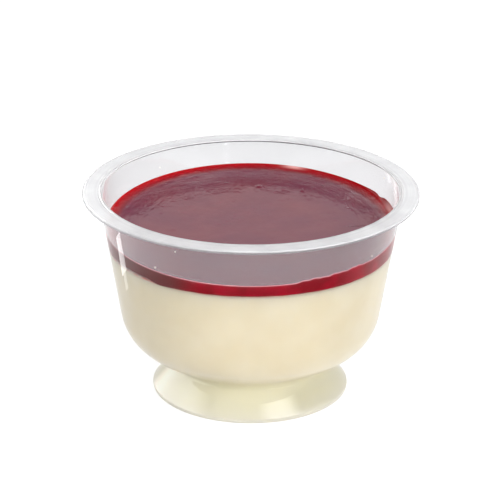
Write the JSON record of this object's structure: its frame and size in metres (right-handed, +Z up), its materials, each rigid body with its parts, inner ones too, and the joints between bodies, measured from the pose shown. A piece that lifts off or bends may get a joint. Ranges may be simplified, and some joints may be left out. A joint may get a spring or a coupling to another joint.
{
  "type": "panna cotta",
  "caption": "Panna cotta in a clear footed plastic cup with a wide flat rim, topped with a glossy layer of red fruit coulis.",
  "frame": {"origin": "centre of the underside of the foot", "axes": "+Z up along the cup's axis of revolution; +Y towards the side where the coulis stands highest, -Y towards the side shown nearest"},
  "size_m": [0.095, 0.095, 0.0597],
  "materials": {
    "cup": "clear thermoformed polystyrene, slightly hazy",
    "panna_cotta": "smooth set cream",
    "fruit_coulis": "glossy set fruit coulis"
  },
  "bodies": {
    "root": {"cup": "cup", "panna_cotta": "panna_cotta", "fruit_coulis": "fruit_coulis"}
  },
  "joints": []
}
